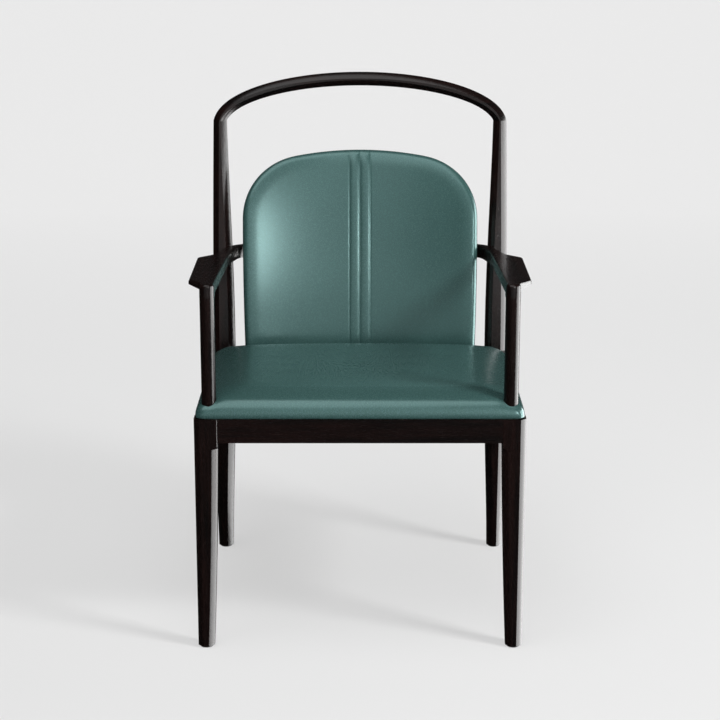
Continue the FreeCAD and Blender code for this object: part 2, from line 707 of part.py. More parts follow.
def cushion_section(inset, height):
    """Outline of the seat cushion, tilted more the higher it lies: an arched rear, a straight front."""
    half = HALF_WIDTH - CUSHION_INSET - inset
    rear = back(CUSHION_REAR_SETBACK - inset)
    front = back(CUSHION_INSET + inset)
    front_corner = CUSHION_FRONT_CORNER + CUSHION_CORNER_GROWTH * inset
    center, meeting = arched_corner(half, rear, CUSHION_REAR_RADIUS - inset, CUSHION_REAR_CORNER)
    turn = math.atan2(meeting[1] - center[1], meeting[0] - center[0]) / 2
    z = SEAT_FRAME_TOP + height
    corner_middle = V(
        center[0] + CUSHION_REAR_CORNER * math.cos(turn),
        center[1] + CUSHION_REAR_CORNER * math.sin(turn),
        z,
    )
    cut = front_corner * (1 - math.sqrt(0.5))
    right = [
        V(meeting[0], meeting[1], z),
        corner_middle,
        V(half, center[1], z),
        V(half, front + front_corner, z),
        V(half - cut, front + cut, z),
        V(half - front_corner, front, z),
    ]
    left = [V(-p.x, p.y, z) for p in right]
    wire = Part.Wire([
        arc(right[0], V(0, rear, z), left[0]),
        arc(left[0], left[1], left[2]),
        line(left[2], left[3]),
        arc(left[3], left[4], left[5]),
        line(left[5], right[5]),
        arc(right[5], right[4], right[3]),
        line(right[3], right[2]),
        arc(right[2], right[1], right[0]),
    ])
    full_height = CUSHION_BULGE_HEIGHT + CUSHION_EDGE_RADIUS
    wire.rotate(V(0, front, z), X_AXIS, -CUSHION_TILT * min(1, height / full_height))
    return wire


def cushion_solid(skin, base):
    """The cushion inside a skin's thickness: tucked foot, rounded side and crowned top."""
    radius = CUSHION_EDGE_RADIUS - skin
    sections = [cushion_section(CUSHION_TUCK + skin, base)]
    for i in range(CUSHION_EDGE_STEPS + 1):
        turn = math.radians(CUSHION_EDGE_TURN) * i / CUSHION_EDGE_STEPS
        inset = skin + radius * (1 - math.cos(turn))
        height = CUSHION_BULGE_HEIGHT + radius * math.sin(turn)
        sections.append(cushion_section(inset, height))
    for i in range(1, CUSHION_CROWN_STEPS + 1):
        share = i / CUSHION_CROWN_STEPS
        lift = CUSHION_CROWN * (1 - (1 - share) ** 2)
        sections.append(cushion_section(inset + share * CUSHION_CROWN_RUN, height + lift))
    return Part.makeLoft(sections, True, True)


def post_hole(clearance):
    """Both arm posts with a clearance, to cut through the seat."""
    base = V(POST_OFFSET, back(POST_SETBACK), 0)
    hole = rod(base, Z_AXIS, ARM_HEIGHT, POST_DIAMETER + 2 * clearance)
    return [hole, mirrored(hole)]


def seat_pieces():
    """Board, foam and leather cover of the seat."""
    board_top = SEAT_FRAME_TOP + SEAT_BOARD_THICK
    outer = cushion_solid(0, CUSHION_GAP).cut(post_hole(CUSHION_POST_FIT))
    core = cushion_solid(LEATHER, 0).cut(post_hole(CUSHION_POST_FIT + LEATHER))
    slab = box(-FRAME_WIDTH, FRAME_WIDTH, back(0), -back(0), 0, board_top)
    return core.common(slab), core.cut(slab), largest(outer.cut(core))


def corner_block(at_front, grow=0.0):
    """Right glue block of the seat frame, front or rear; grow moves its open face inwards."""
    side = HALF_WIDTH - RAIL_INSET - RAIL_THICK
    if at_front:
        rail = RAIL_INSET + RAIL_THICK
        leg_face = FRONT_LEG_WIDTH + BLOCK_LEG_GAP
        leg_side = HALF_WIDTH - FRONT_LEG_WIDTH - BLOCK_LEG_GAP
        sense = 1
    else:
        rail = REAR_RAIL_SETBACK
        leg_face = REAR_SEAT_SETBACK - REAR_SEAT_DEPTH / 2 - 2 * BLOCK_LEG_GAP
        leg_side = HALF_WIDTH - REAR_SEAT_WIDTH - 2 * BLOCK_LEG_GAP
        sense = -1
    points = [
        (leg_side, rail),
        (leg_side - BLOCK_FRONT_LENGTH - grow, rail),
        (side, leg_face + sense * (BLOCK_SIDE_LENGTH + grow)),
        (side, leg_face),
        (leg_side, leg_face),
        (leg_side, rail),
    ]
    low = SEAT_FRAME_TOP - BLOCK_HEIGHT
    outline = Part.makePolygon([V(x, back(s), low) for x, s in points])
    return Part.Face(outline).extrude(Z_AXIS * BLOCK_HEIGHT)


def screw(seat, direction, length):
    """Screw whose head sits behind its seat point."""
    shank = rod(seat, direction, length, SCREW_DIAMETER)
    head = rod(seat - direction * SCREW_HEAD_THICK, direction, SCREW_HEAD_THICK, SCREW_HEAD_DIAMETER)
    return shank.fuse(head)


def screw_bore(seat, direction, length):
    """Clear hole for a screw, open behind its head."""
    shank = rod(seat, direction, length + TENON_END_GAP, SCREW_DIAMETER + SCREW_FIT)
    behind = 2 * BLOCK_SIDE_LENGTH
    head = rod(seat - direction * behind, direction, behind, SCREW_HEAD_DIAMETER + SCREW_HEAD_FIT)
    return shank.fuse(head)


def block_screw_lines(at_front):
    """Seat point, direction and length of the three screws of a right corner block."""
    side = HALF_WIDTH - RAIL_INSET - RAIL_THICK
    cover = SCREW_HEAD_DIAMETER
    height = SEAT_FRAME_TOP - BLOCK_HEIGHT / 2
    if at_front:
        rail = RAIL_INSET + RAIL_THICK
        leg_face = FRONT_LEG_WIDTH
        leg_side = HALF_WIDTH - FRONT_LEG_WIDTH
        sense = 1
    else:
        rail = REAR_RAIL_SETBACK
        leg_face = REAR_SEAT_SETBACK - REAR_SEAT_DEPTH / 2
        leg_side = HALF_WIDTH - REAR_SEAT_WIDTH
        sense = -1
    to_rail = V(leg_side - BLOCK_FRONT_LENGTH + BLOCK_SCREW_EDGE, back(rail + sense * cover), height)
    to_side = V(side - cover, back(leg_face + sense * (BLOCK_SIDE_LENGTH - BLOCK_SCREW_EDGE)), height)
    low = SEAT_FRAME_TOP - BLOCK_HEIGHT + SCREW_HEAD_THICK
    up = V(leg_side - SEAT_SCREW_EDGE, back(leg_face + sense * SEAT_SCREW_EDGE), low)
    return [
        (to_rail, Y_AXIS * -sense, cover + BLOCK_SCREW_BITE),
        (to_side, X_AXIS, cover + BLOCK_SCREW_BITE),
        (up, Z_AXIS, BLOCK_HEIGHT - SCREW_HEAD_THICK + SEAT_SCREW_BITE),
    ]


def arm_bolt_line():
    """Axis of the right arm's bolt: from the post's outer rear corner, through it into the arm's neck."""
    direction = V(-1, -1, 0).normalize()
    center = V(HALF_WIDTH - REAR_ARM_WIDTH / 2, back(REAR_ARM_SETBACK), REAR_ARM_HEIGHT)
    return center, direction


def arm_bolt():
    center, direction = arm_bolt_line()
    seat = center - direction * BOLT_HEAD_DEPTH
    head = rod(seat - direction * BOLT_HEAD_THICK, direction, BOLT_HEAD_THICK, BOLT_HEAD_DIAMETER)
    return head.fuse(rod(seat, direction, BOLT_HEAD_DEPTH + BOLT_BITE, BOLT_DIAMETER))


def arm_bolt_bore():
    center, direction = arm_bolt_line()
    seat = center - direction * BOLT_HEAD_DEPTH
    reach = REAR_ARM_DEPTH
    head = rod(seat - direction * reach, direction, reach, BOLT_HEAD_DIAMETER + SCREW_FIT)
    length = BOLT_HEAD_DEPTH + BOLT_BITE + TENON_END_GAP
    return head.fuse(rod(seat, direction, length, BOLT_DIAMETER + SCREW_FIT))


def arm_bolt_plug():
    center, direction = arm_bolt_line()
    start = center - direction * PLUG_END
    return rod(start, direction, PLUG_END - BOLT_HEAD_DEPTH - BOLT_HEAD_THICK, BOLT_HEAD_DIAMETER)


def arm_dowel(grow=0.0, end=0.0):
    """Dowel between the right arm and the back rail."""
    joint, outward, along = ring_joint()
    length = ARM_DOWEL_LENGTH + 2 * end
    start = joint - outward * (RING_THICK / 2) - along * (length / 2) - Z_AXIS * (ARM_THICK / 2)
    return on_ring(rod(start, along, length, ARM_DOWEL_DIAMETER + 2 * grow))


def top_dowel(grow=0.0, end=0.0):
    """Dowel between the right rear post and the top rail."""
    tilt = math.radians(TOP_DOWEL_TILT)
    direction = V(-math.sin(tilt), math.sin(TOP_LEAN), math.cos(TOP_LEAN)).normalize()
    joint = V(HALF_WIDTH - REAR_TOP_WIDTH / 2, back(REAR_TOP_SETBACK), REAR_TOP_HEIGHT)
    start = joint - direction * (TOP_DOWEL_DOWN + end)
    return rod(start, direction, TOP_DOWEL_DOWN + TOP_DOWEL_UP + 2 * end, TOP_DOWEL_DIAMETER + 2 * grow)


def back_dowel(grow=0.0, end=0.0):
    """Dowel from the rear seat rail up into the edge of the back board."""
    depth = (BOARD_FRONT + BOARD_BACK) / 2
    y = back(back_setback(BACK_BOTTOM, depth, BACK_DOWEL_OFFSET))
    start = V(BACK_DOWEL_OFFSET, y, BACK_BOTTOM - BACK_DOWEL_BITE - end)
    return rod(start, Z_AXIS, 2 * (BACK_DOWEL_BITE + end), BACK_DOWEL_DIAMETER + 2 * grow)


def back_screw_line():
    """Seat point, direction and length of the right screw from the back rail into the back board."""
    height = RING_BACK_HEIGHT - ARM_THICK / 2
    rear = RING_FRONT_SETBACK + RING_THICK / 2 - BACK_SCREW_OFFSET ** 2 / (2 * RING_OUTER_RADIUS)
    tip = back_setback(height, BOARD_BACK, BACK_SCREW_OFFSET) - BACK_SCREW_BITE
    seat = V(BACK_SCREW_OFFSET, back(rear), height)
    return seat, -Y_AXIS, rear - tip


def back_spacer(rail):
    """Right spacer between the back panel and the back rail, scribed to both."""
    seat, direction, length = back_screw_line()
    spacer = rod(seat, direction, length, BACK_SPACER_DIAMETER)
    spacer = largest(spacer.cut([rail, back_layer(0, BACK_THICK + BACK_GAP)]))
    return spacer.cut(screw_bore(seat, direction, length))


def dust_cover():
    """Thin cloth under the seat board, inside the rails and the corner blocks."""
    side = HALF_WIDTH - RAIL_INSET - RAIL_THICK - DUST_COVER_GAP
    front = back(RAIL_INSET + RAIL_THICK + DUST_COVER_GAP)
    rear = back(CUSHION_REAR_SETBACK - 2 * CUSHION_EDGE_RADIUS)
    cloth = box(-side, side, front, rear, SEAT_FRAME_TOP - DUST_COVER_THICK, SEAT_FRAME_TOP)
    blocks = both(corner_block(True, DUST_COVER_GAP)) + both(corner_block(False, DUST_COVER_GAP))
    legs = FRONT_LEG_WIDTH + DUST_COVER_GAP
    corner = box(HALF_WIDTH - legs, HALF_WIDTH, back(0), back(legs), 0, SEAT_FRAME_TOP)
    return largest(cloth.cut(blocks + both(corner)))


def foot_centers():
    """Centres of the right feet: front and rear."""
    x = HALF_WIDTH - FOOT_WIDTH / 2
    return [V(x, back(FOOT_WIDTH / 2), 0), V(x, back(REAR_FOOT_SETBACK), 0)]


def foot_glide(center, grow=0.0):
    pin = rod(center, Z_AXIS, GLIDE_THICK + GLIDE_PIN_LENGTH + grow, GLIDE_PIN_DIAMETER + grow)
    return rod(center, Z_AXIS, GLIDE_THICK, GLIDE_DIAMETER).fuse(pin)


def add_pair(nodes, name, shape):
    """Add a right-hand piece and its mirror image."""
    nodes[name + "_right"] = shape
    nodes[name + "_left"] = mirrored(shape)


def build():
    """Every node of the chair, by name."""
    nodes = {}
    front_foot, rear_foot = foot_centers()
    front_blank = front_leg_blank()
    rear_blank = rear_leg_blank()
    arm = arm_blank()
    post_mortise = rod(
        V(POST_OFFSET, back(POST_SETBACK), 0),
        Z_AXIS,
        ARM_HEIGHT - ARM_THICK + POST_TENON_LENGTH + TENON_END_GAP,
        POST_TENON_DIAMETER + 2 * TENON_FIT,
    )
    side_mortises = side_tenons(TENON_FIT, TENON_END_GAP)
    front_cuts = [front_tenon(TENON_FIT, TENON_END_GAP), side_mortises[0], foot_glide(front_foot, SCREW_FIT)]
    rear_cuts = [
        rear_tenon(TENON_FIT, TENON_END_GAP),
        side_mortises[1],
        foot_glide(rear_foot, SCREW_FIT),
        arm,
        arm_bolt_bore(),
        top_dowel(TENON_FIT, TENON_END_GAP),
    ]
    add_pair(nodes, "front_leg", largest(front_blank.cut(front_cuts)))
    add_pair(nodes, "rear_leg", largest(rear_blank.cut(rear_cuts)))
    arm_cuts = [post_mortise, arm_bolt_bore(), arm_dowel(TENON_FIT, TENON_END_GAP)]
    add_pair(nodes, "arm", largest(arm.cut(arm_cuts)))

    top_holes = both(top_dowel(TENON_FIT, TENON_END_GAP))
    nodes["top_rail"] = top_rail_blank().cut(top_holes)
    back_bores = both(screw_bore(*back_screw_line()))
    ring_holes = both(arm_dowel(TENON_FIT, TENON_END_GAP))
    back_rail = back_rail_blank()
    nodes["back_rail"] = back_rail.cut(ring_holes + back_bores)
    nodes["back_spacers"] = Part.makeCompound(both(back_spacer(back_rail)))

    bores = {True: [], False: []}
    screws = []
    seat_screws = []
    for at_front in (True, False):
        lines = block_screw_lines(at_front)
        bores[at_front] = [screw_bore(*entry) for entry in lines]
        for entry in lines[:2]:
            screws += both(screw(*entry))
        seat_screws += both(screw(*lines[2]))
        name = "corner_block_front" if at_front else "corner_block_rear"
        add_pair(nodes, name, corner_block(at_front).cut(bores[at_front]))
    back_holes = both(back_dowel(TENON_FIT, TENON_END_GAP))
    front_bores = both(bores[True][0])
    rear_bores = both(bores[False][0])
    nodes["front_rail"] = front_rail().cut(front_bores).removeSplitter()
    nodes["rear_rail"] = rear_rail(rear_blank).cut(rear_bores + back_holes).removeSplitter()
    side_cuts = [bores[True][1], bores[False][1]]
    add_pair(nodes, "side_rail", side_rail(rear_blank).cut(side_cuts).removeSplitter())

    board, foam, cover = seat_pieces()
    seat_bores = both(bores[True][2]) + both(bores[False][2])
    nodes["seat_board"] = board.cut(seat_bores)
    nodes["seat_foam"] = foam
    nodes["seat_cover"] = cover
    nodes["seat_dust_cover"] = dust_cover()

    board, foam, cover, rear = back_pieces()
    nodes["back_board"] = board.cut(back_holes + back_bores)
    nodes["back_foam"] = foam
    nodes["back_cover_front"] = cover
    nodes["back_cover_rear"] = rear.cut(back_bores)

    nodes["corner_block_screws"] = Part.makeCompound(screws)
    nodes["seat_screws"] = Part.makeCompound(seat_screws)
    nodes["arm_bolts"] = Part.makeCompound(both(arm_bolt()))
    nodes["arm_bolt_plugs"] = Part.makeCompound(both(arm_bolt_plug()))
    nodes["back_screws"] = Part.makeCompound(both(screw(*back_screw_line())))
    nodes["back_dowels"] = Part.makeCompound(both(back_dowel()))
    nodes["top_rail_dowels"] = Part.makeCompound(both(top_dowel()))
    nodes["arm_dowels"] = Part.makeCompound(both(arm_dowel()))
    add_pair(nodes, "foot_glide_front", foot_glide(front_foot))
    add_pair(nodes, "foot_glide_rear", foot_glide(rear_foot))
    return nodes


def main():
    os.makedirs("parts", exist_ok=True)
    for name, shape in build().items():
        if len(shape.Solids) == 1:
            shape = shape.Solids[0]
        print(name, len(shape.Solids), shape.isValid(), round(shape.Volume))
        shape.exportStep("parts/" + name + ".step")


main()
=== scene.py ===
"""Looks of the armchair: dark wood frame, domed leather seat and ribbed leather back."""

import math

import bmesh
import bpy
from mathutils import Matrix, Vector


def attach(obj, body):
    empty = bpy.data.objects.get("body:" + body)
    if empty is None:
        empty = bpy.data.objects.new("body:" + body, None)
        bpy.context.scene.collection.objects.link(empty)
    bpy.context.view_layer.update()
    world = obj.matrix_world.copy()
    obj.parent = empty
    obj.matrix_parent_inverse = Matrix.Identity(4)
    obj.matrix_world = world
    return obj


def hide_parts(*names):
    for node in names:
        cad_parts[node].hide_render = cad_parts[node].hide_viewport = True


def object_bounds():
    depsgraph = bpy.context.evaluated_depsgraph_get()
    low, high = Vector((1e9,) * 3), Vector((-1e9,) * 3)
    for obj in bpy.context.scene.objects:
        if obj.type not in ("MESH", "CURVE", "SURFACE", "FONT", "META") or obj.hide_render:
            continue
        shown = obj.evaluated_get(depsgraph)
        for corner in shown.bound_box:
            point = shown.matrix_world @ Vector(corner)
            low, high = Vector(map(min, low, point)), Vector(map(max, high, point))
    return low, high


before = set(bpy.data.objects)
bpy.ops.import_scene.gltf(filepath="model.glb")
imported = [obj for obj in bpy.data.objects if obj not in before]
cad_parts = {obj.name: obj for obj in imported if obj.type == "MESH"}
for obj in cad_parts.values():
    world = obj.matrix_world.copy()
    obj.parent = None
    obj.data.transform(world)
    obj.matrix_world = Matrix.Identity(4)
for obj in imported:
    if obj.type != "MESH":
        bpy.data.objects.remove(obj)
cad_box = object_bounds()

MM = 0.001
HALF_DEPTH = -cad_box[0][1] / MM
SINE_45 = math.sqrt(0.5)

# Sizes of the seat and the back, and where they stand, in millimetres, with the edge's turn in degrees
SEAT_FRAME_TOP = 414.0
SEAT_HALF = 280.0
SEAT_FRONT = 2.0 - HALF_DEPTH
SEAT_REAR = 452.0 - HALF_DEPTH
SEAT_FRONT_CORNER = 13.0
SEAT_REAR_CORNER = 60.0
SEAT_REAR_RADIUS = 1700.0
SEAT_EDGE = 31.0
SEAT_EDGE_TURN = 70
SEAT_EDGE_STEP = 10
SEAT_BULGE = 4.5
SEAT_CROWN = 12.0
SEAT_CROWN_RUN = 66.0
SEAT_TILT = math.radians(1.26)
SEAT_BOARD = 12.2
CLOTH_HALF = 256.0
CLOTH_FRONT = 26.0 - HALF_DEPTH
CLOTH_REAR = 390.0 - HALF_DEPTH
CLOTH_FRONT_CUT = 86.5
CLOTH_REAR_CUT = 5.4
CLOTH_SAG = 2.0
CLOTH_THICK = 0.6
CLOTH_GAP = 0.3
POST_ACROSS = 256.3
POST_ALONG = 22.0 - HALF_DEPTH
POST_RADIUS = 12.5
POST_FIT = 0.5
POST_CUT = 200.0
POST_DIMPLE = 2.5
POST_DIMPLE_REACH = 6.0
POST_DIMPLE_FADE = 15.0
BACK_FOOT = 414.3
BACK_HEAD = 795.0
BACK_HALF = 223.6
BACK_FOOT_CORNER = 6.0
BACK_SHOULDER = 125.0
BACK_ARCH = 592.0
BACK_NARROWING = 4.0
BACK_FRONT = 469.0 - HALF_DEPTH
BACK_FOOT_LEAN = math.radians(6.0)
BACK_TILT = math.radians(16.0)
BACK_PROFILE = 1900.0
BACK_PLAN = 840.0
PAD_BORDER = 33.0
PAD_SLOPE = 3.5
PAD_TURN = 11.0
PAD_ROUND = 9.0
RIB = 20.0
RIB_RAISE = 1.1
RIB_GROOVE = 0.4
RIB_GROOVE_WIDTH = 1.7
RIB_FADE = 14.0

# Rounds in which the place of a point of the back is worked out
BACK_SEARCH_ROUNDS = 12

# Studio and camera, in metres, millimetres of lens and degrees
SWEEP_HALF = 9.0
SWEEP_BEND = 4.0
SWEEP_RADIUS = 3.0
SWEEP_RISE = 5.0
CAMERA_DISTANCE = 3.1077
CAMERA_HEIGHT = 1.3245
CAMERA_DROP = 14.53
CAMERA_LENS = 95.8
CAMERA_SENSOR = 36.0


class Outline:
    """Closed outline with a straight foot, upright sides, round shoulders and an arched head."""

    foot_growth = 0.2

    def __init__(self, half, foot, head, foot_round, shoulder, arch, narrowing=0.0):
        self.half = half
        self.foot = foot
        self.foot_round = foot_round
        self.shoulder = shoulder
        self.arch = arch
        self.narrowing = narrowing
        self.base_inset = 0.0
        self.hub_across = half - shoulder
        self.arch_hub = head - arch
        reach = arch - shoulder
        self.hub_up = self.arch_hub + math.sqrt(reach ** 2 - self.hub_across ** 2)
        self.meet_sine = self.hub_across / reach
        runs = (foot_round * math.pi / 4, self.hub_up - foot - foot_round, shoulder * math.pi / 4)
        self.foot_share = runs[0] / sum(runs)
        self.side_share = (runs[0] + runs[1]) / sum(runs)

    def side(self, share, inset):
        """Point on the right side, from the middle of its foot corner to the middle of its shoulder."""
        corner = self.foot_round + self.foot_growth * inset
        low = self.foot + inset + corner
        if share <= self.foot_share:
            turn = math.pi / 4 * (share / self.foot_share - 1)
            across = self.half - inset - corner + corner * math.cos(turn)
            up = low + corner * math.sin(turn)
        elif share <= self.side_share:
            part = (share - self.foot_share) / (self.side_share - self.foot_share)
            across = self.half - inset
            up = low + part * (self.hub_up - low)
        else:
            turn = math.pi / 4 * (share - self.side_share) / (1 - self.side_share)
            across = self.hub_across + (self.shoulder - inset) * math.cos(turn)
            up = self.hub_up + (self.shoulder - inset) * math.sin(turn)
        below = max(0.0, self.hub_up - up) / (self.hub_up - self.foot)
        return across - self.narrowing * below ** 2, up

    def at_foot(self, across, inset):
        corner = self.foot_round + self.foot_growth * inset
        over = abs(across) - self.side(0, inset)[0] + corner * SINE_45
        up = self.foot + inset
        if over > 0:
            up += corner - math.sqrt(max(0.0, corner ** 2 - over ** 2))
        return across, up

    def at_head(self, across, inset):
        radius = self.arch - inset
        if abs(across) <= radius * self.meet_sine:
            return across, self.arch_hub + math.sqrt(radius ** 2 - across ** 2)
        corner = self.shoulder - inset
        return across, self.hub_up + math.sqrt(corner ** 2 - (abs(across) - self.hub_across) ** 2)

    def stretched(self, place, inset, share):
        """Column's place, moved out with the end of the foot (share 0) or of the head (share 1)."""
        end = self.side(share, inset)[0]
        base = self.side(0, self.base_inset)[0]
        return place + (end - base) * abs(place / base) ** 4 * math.copysign(1, place)

    def edge(self, side, place, inset):
        """Point of the outline at an inset: side 0 is the foot, 1 right, 2 head, 3 left."""
        if side == 0:
            return self.at_foot(self.stretched(place, inset, 0), inset)
        if side == 2:
            return self.at_head(self.stretched(place, inset, 1), inset)
        across, up = self.side(place, inset)
        return (across, up) if side == 1 else (-across, up)

    def inside(self, column, row, inset):
        """Point inside the outline, blended from its four sides."""
        base = self.side(0, inset)[0]
        u = (column / base + 1) / 2
        foot = self.edge(0, column, inset)
        head = self.edge(2, column, inset)
        side = self.side(row, inset)
        low = self.side(0, inset)
        high = self.side(1, inset)
        across = (1 - row) * foot[0] + row * head[0]
        across += (2 * u - 1) * (side[0] - (1 - row) * low[0] - row * high[0])
        up = (1 - row) * foot[1] + row * head[1]
        up += side[1] - (1 - row) * low[1] - row * high[1]
        near = min(1.0, max(0.0, (abs(column) - 1.5 * RIB) / (4 * RIB)))
        near = near * near * (3 - 2 * near)
        return column + (across - column) * near, up


def spread(ends, count, gather):
    """Steps from one end to the other, gathered towards both ends."""
    steps = []
    for i in range(count + 1):
        even = i / count
        bunched = (1 - math.cos(math.pi * even)) / 2
        steps.append(ends[0] + (ends[1] - ends[0]) * (even + (bunched - even) * gather))
    return steps


def upholstery(name, outline, columns, rows, rings, shape):
    """Closed skin: a grid inside the outline, rings out over its edge and back under it.

    Each ring is (inset, level), and the first and last have the inset of the grid. shape gives the
    place in the chair of a point of the outline's plane at a level.
    """
    mesh = bmesh.new()
    side_of = mesh.verts.layers.int.new("side")
    place_of = mesh.verts.layers.float.new("place")
    across_of = mesh.verts.layers.float.new("across")
    up_of = mesh.verts.layers.float.new("up")
    inset, level = rings[0]
    outline.base_inset = inset
    last_column = len(columns) - 1
    last_row = len(rows) - 1
    grid = bmesh.ops.create_grid(mesh, x_segments=last_column, y_segments=last_row, size=1)["verts"]
    faces = mesh.faces[:]
    for vert in grid:
        i = round((vert.co.x + 1) / 2 * last_column)
        j = round((vert.co.y + 1) / 2 * last_row)
        vert[across_of], vert[up_of] = outline.inside(columns[i], rows[j], inset)
        if j == 0 or j == last_row:
            vert[side_of] = 0 if j == 0 else 2
            vert[place_of] = columns[i]
        elif i == 0 or i == last_column:
            vert[side_of] = 3 if i == 0 else 1
            vert[place_of] = rows[j]
        vert.co = shape(vert[across_of], vert[up_of], level, inset)
    edges = [edge for edge in mesh.edges if edge.is_boundary]
    for inset, level in rings[1:]:
        made = bmesh.ops.extrude_edge_only(mesh, edges=edges)["geom"]
        verts = [item for item in made if isinstance(item, bmesh.types.BMVert)]
        for vert in verts:
            vert[across_of], vert[up_of] = outline.edge(vert[side_of], vert[place_of], inset)
            vert.co = shape(vert[across_of], vert[up_of], level, inset)
        edges = [item for item in made if isinstance(item, bmesh.types.BMEdge) and item.is_boundary]
    under = bmesh.ops.duplicate(mesh, geom=faces)["geom"]
    for item in under:
        if isinstance(item, bmesh.types.BMVert):
            item.co = shape(item[across_of], item[up_of], rings[-1][1], rings[-1][0])
    bmesh.ops.remove_doubles(mesh, verts=mesh.verts, dist=0.01 * MM)
    bmesh.ops.recalc_face_normals(mesh, faces=mesh.faces)
    for face in mesh.faces:
        face.smooth = True
    return piece_from(mesh, name)


def piece_from(mesh, name):
    """Blender object of a finished bmesh, at the origin."""
    data = bpy.data.meshes.new(name)
    mesh.to_mesh(data)
    mesh.free()
    piece = bpy.data.objects.new(name, data)
    bpy.context.scene.collection.objects.link(piece)
    return piece


def subdivided(piece, levels):
    modifier = piece.modifiers.new("rounding", "SUBSURF")
    modifier.levels = levels
    modifier.render_levels = levels
    return piece


def applied(piece):
    """Make the piece's modifiers its own mesh."""
    bpy.context.view_layer.update()
    graph = bpy.context.evaluated_depsgraph_get()
    old = piece.data
    piece.data = bpy.data.meshes.new_from_object(piece.evaluated_get(graph))
    piece.modifiers.clear()
    bpy.data.meshes.remove(old)
    piece.data.name = piece.name
    return piece


# Seat cushion
def swell(distance):
    """Rise of the crown from 0 at the rolled edge to 1 well inside."""
    part = min(1.0, max(0.0, distance / SEAT_CROWN_RUN))
    return 1 - (1 - part) ** 2


def seat_at(across, along, level, inset):
    """Point of the seat, with its crown, its tilt and the dimples at the arm posts."""
    rolled = SEAT_EDGE * (1 - math.cos(math.radians(SEAT_EDGE_TURN)))
    crown = swell(SEAT_HALF - abs(across) - rolled) * swell(along - SEAT_FRONT - rolled)
    arch = SEAT_REAR - SEAT_REAR_RADIUS + math.sqrt(SEAT_REAR_RADIUS ** 2 - across ** 2)
    crown *= swell(arch - along - rolled)
    if level <= SEAT_BOARD:
        crown = 0.0
    height = level + SEAT_CROWN * crown
    height -= math.sin(SEAT_TILT) * (along - SEAT_FRONT) * min(1.0, level / (SEAT_BULGE + SEAT_EDGE))
    if level > SEAT_BULGE:
        reach = math.hypot(abs(across) - POST_ACROSS, along - POST_ALONG) - POST_RADIUS
        fade = min(1.0, (level - SEAT_BULGE) / POST_DIMPLE_FADE)
        height -= POST_DIMPLE * math.exp(-(max(0.0, reach) / POST_DIMPLE_REACH) ** 2) * fade
    return Vector((across, along, SEAT_FRAME_TOP + height)) * MM


def seat_cushion():
    outline = Outline(
        SEAT_HALF, SEAT_FRONT, SEAT_REAR, SEAT_FRONT_CORNER, SEAT_REAR_CORNER, SEAT_REAR_RADIUS,
    )
    rings = []
    for degrees in range(SEAT_EDGE_TURN, -1, -SEAT_EDGE_STEP):
        turn = math.radians(degrees)
        rings.append((SEAT_EDGE * (1 - math.cos(turn)), SEAT_BULGE + SEAT_EDGE * math.sin(turn)))
    # Tuck under the edge, then up inside the cover to the board
    rings += [(0.2, 2.6), (0.6, 1.4), (1.3, 0.6), (2.2, 0.4), (3.4, 0.4), (1.4, 4.5), (1.5, SEAT_BOARD)]
    rings.append((rings[0][0], SEAT_BOARD))
    end = outline.side(0, rings[0][0])[0]
    columns = spread((-end, end), 56, 0.5)
    rows = spread((0, 1), 46, 0.4)
    piece = subdivided(upholstery("seat_cushion", outline, columns, rows, rings, seat_at), 1)
    applied(piece)
    for sense in (-1, 1):
        cutter_mesh = bmesh.new()
        bmesh.ops.create_cone(
            cutter_mesh, cap_ends=True, segments=64, depth=POST_CUT * MM,
            radius1=(POST_RADIUS + POST_FIT) * MM, radius2=(POST_RADIUS + POST_FIT) * MM,
        )
        hole = Vector((sense * POST_ACROSS, POST_ALONG, SEAT_FRAME_TOP)) * MM
        bmesh.ops.translate(cutter_mesh, verts=cutter_mesh.verts, vec=hole)
        cutter = piece_from(cutter_mesh, "post_cutter")
        cut = piece.modifiers.new("post", "BOOLEAN")
        cut.object = cutter
        cut.solver = "EXACT"
        applied(piece)
        bpy.data.objects.remove(cutter)
    piece.data.set_sharp_from_angle(angle=math.radians(50))
    return piece


# Cloth under the seat board
def seat_cloth():
    mesh = bmesh.new()
    bmesh.ops.create_grid(mesh, x_segments=32, y_segments=24, size=1)
    front = CLOTH_FRONT * MM
    rear = CLOTH_REAR * MM
    bmesh.ops.scale(mesh, verts=mesh.verts, vec=(CLOTH_HALF * MM, (rear - front) / 2, 1))
    bmesh.ops.translate(mesh, verts=mesh.verts, vec=(0, (rear + front) / 2, 0))
    for sense in (-1, 1):
        for end, along, cut in ((-1, front, CLOTH_FRONT_CUT * MM), (1, rear, CLOTH_REAR_CUT * MM)):
            corner = (sense * (CLOTH_HALF * MM - cut), along, 0)
            bmesh.ops.bisect_plane(
                mesh, geom=mesh.verts[:] + mesh.edges[:] + mesh.faces[:],
                plane_co=corner, plane_no=(sense, end, 0), clear_outer=True,
            )
    area = sum(face.calc_area() for face in mesh.faces)
    for vert in mesh.verts:
        across = vert.co.x / (CLOTH_HALF * MM)
        along = (2 * vert.co.y - rear - front) / (rear - front)
        vert.co.z = (SEAT_FRAME_TOP - CLOTH_GAP - CLOTH_SAG * (1 - across ** 2) * (1 - along ** 2)) * MM
    bmesh.ops.recalc_face_normals(mesh, faces=mesh.faces)
    piece = piece_from(mesh, "seat_cloth")
    thick = piece.modifiers.new("thickness", "SOLIDIFY")
    thick.thickness = CLOTH_THICK * MM
    thick.offset = 0
    return applied(piece), area


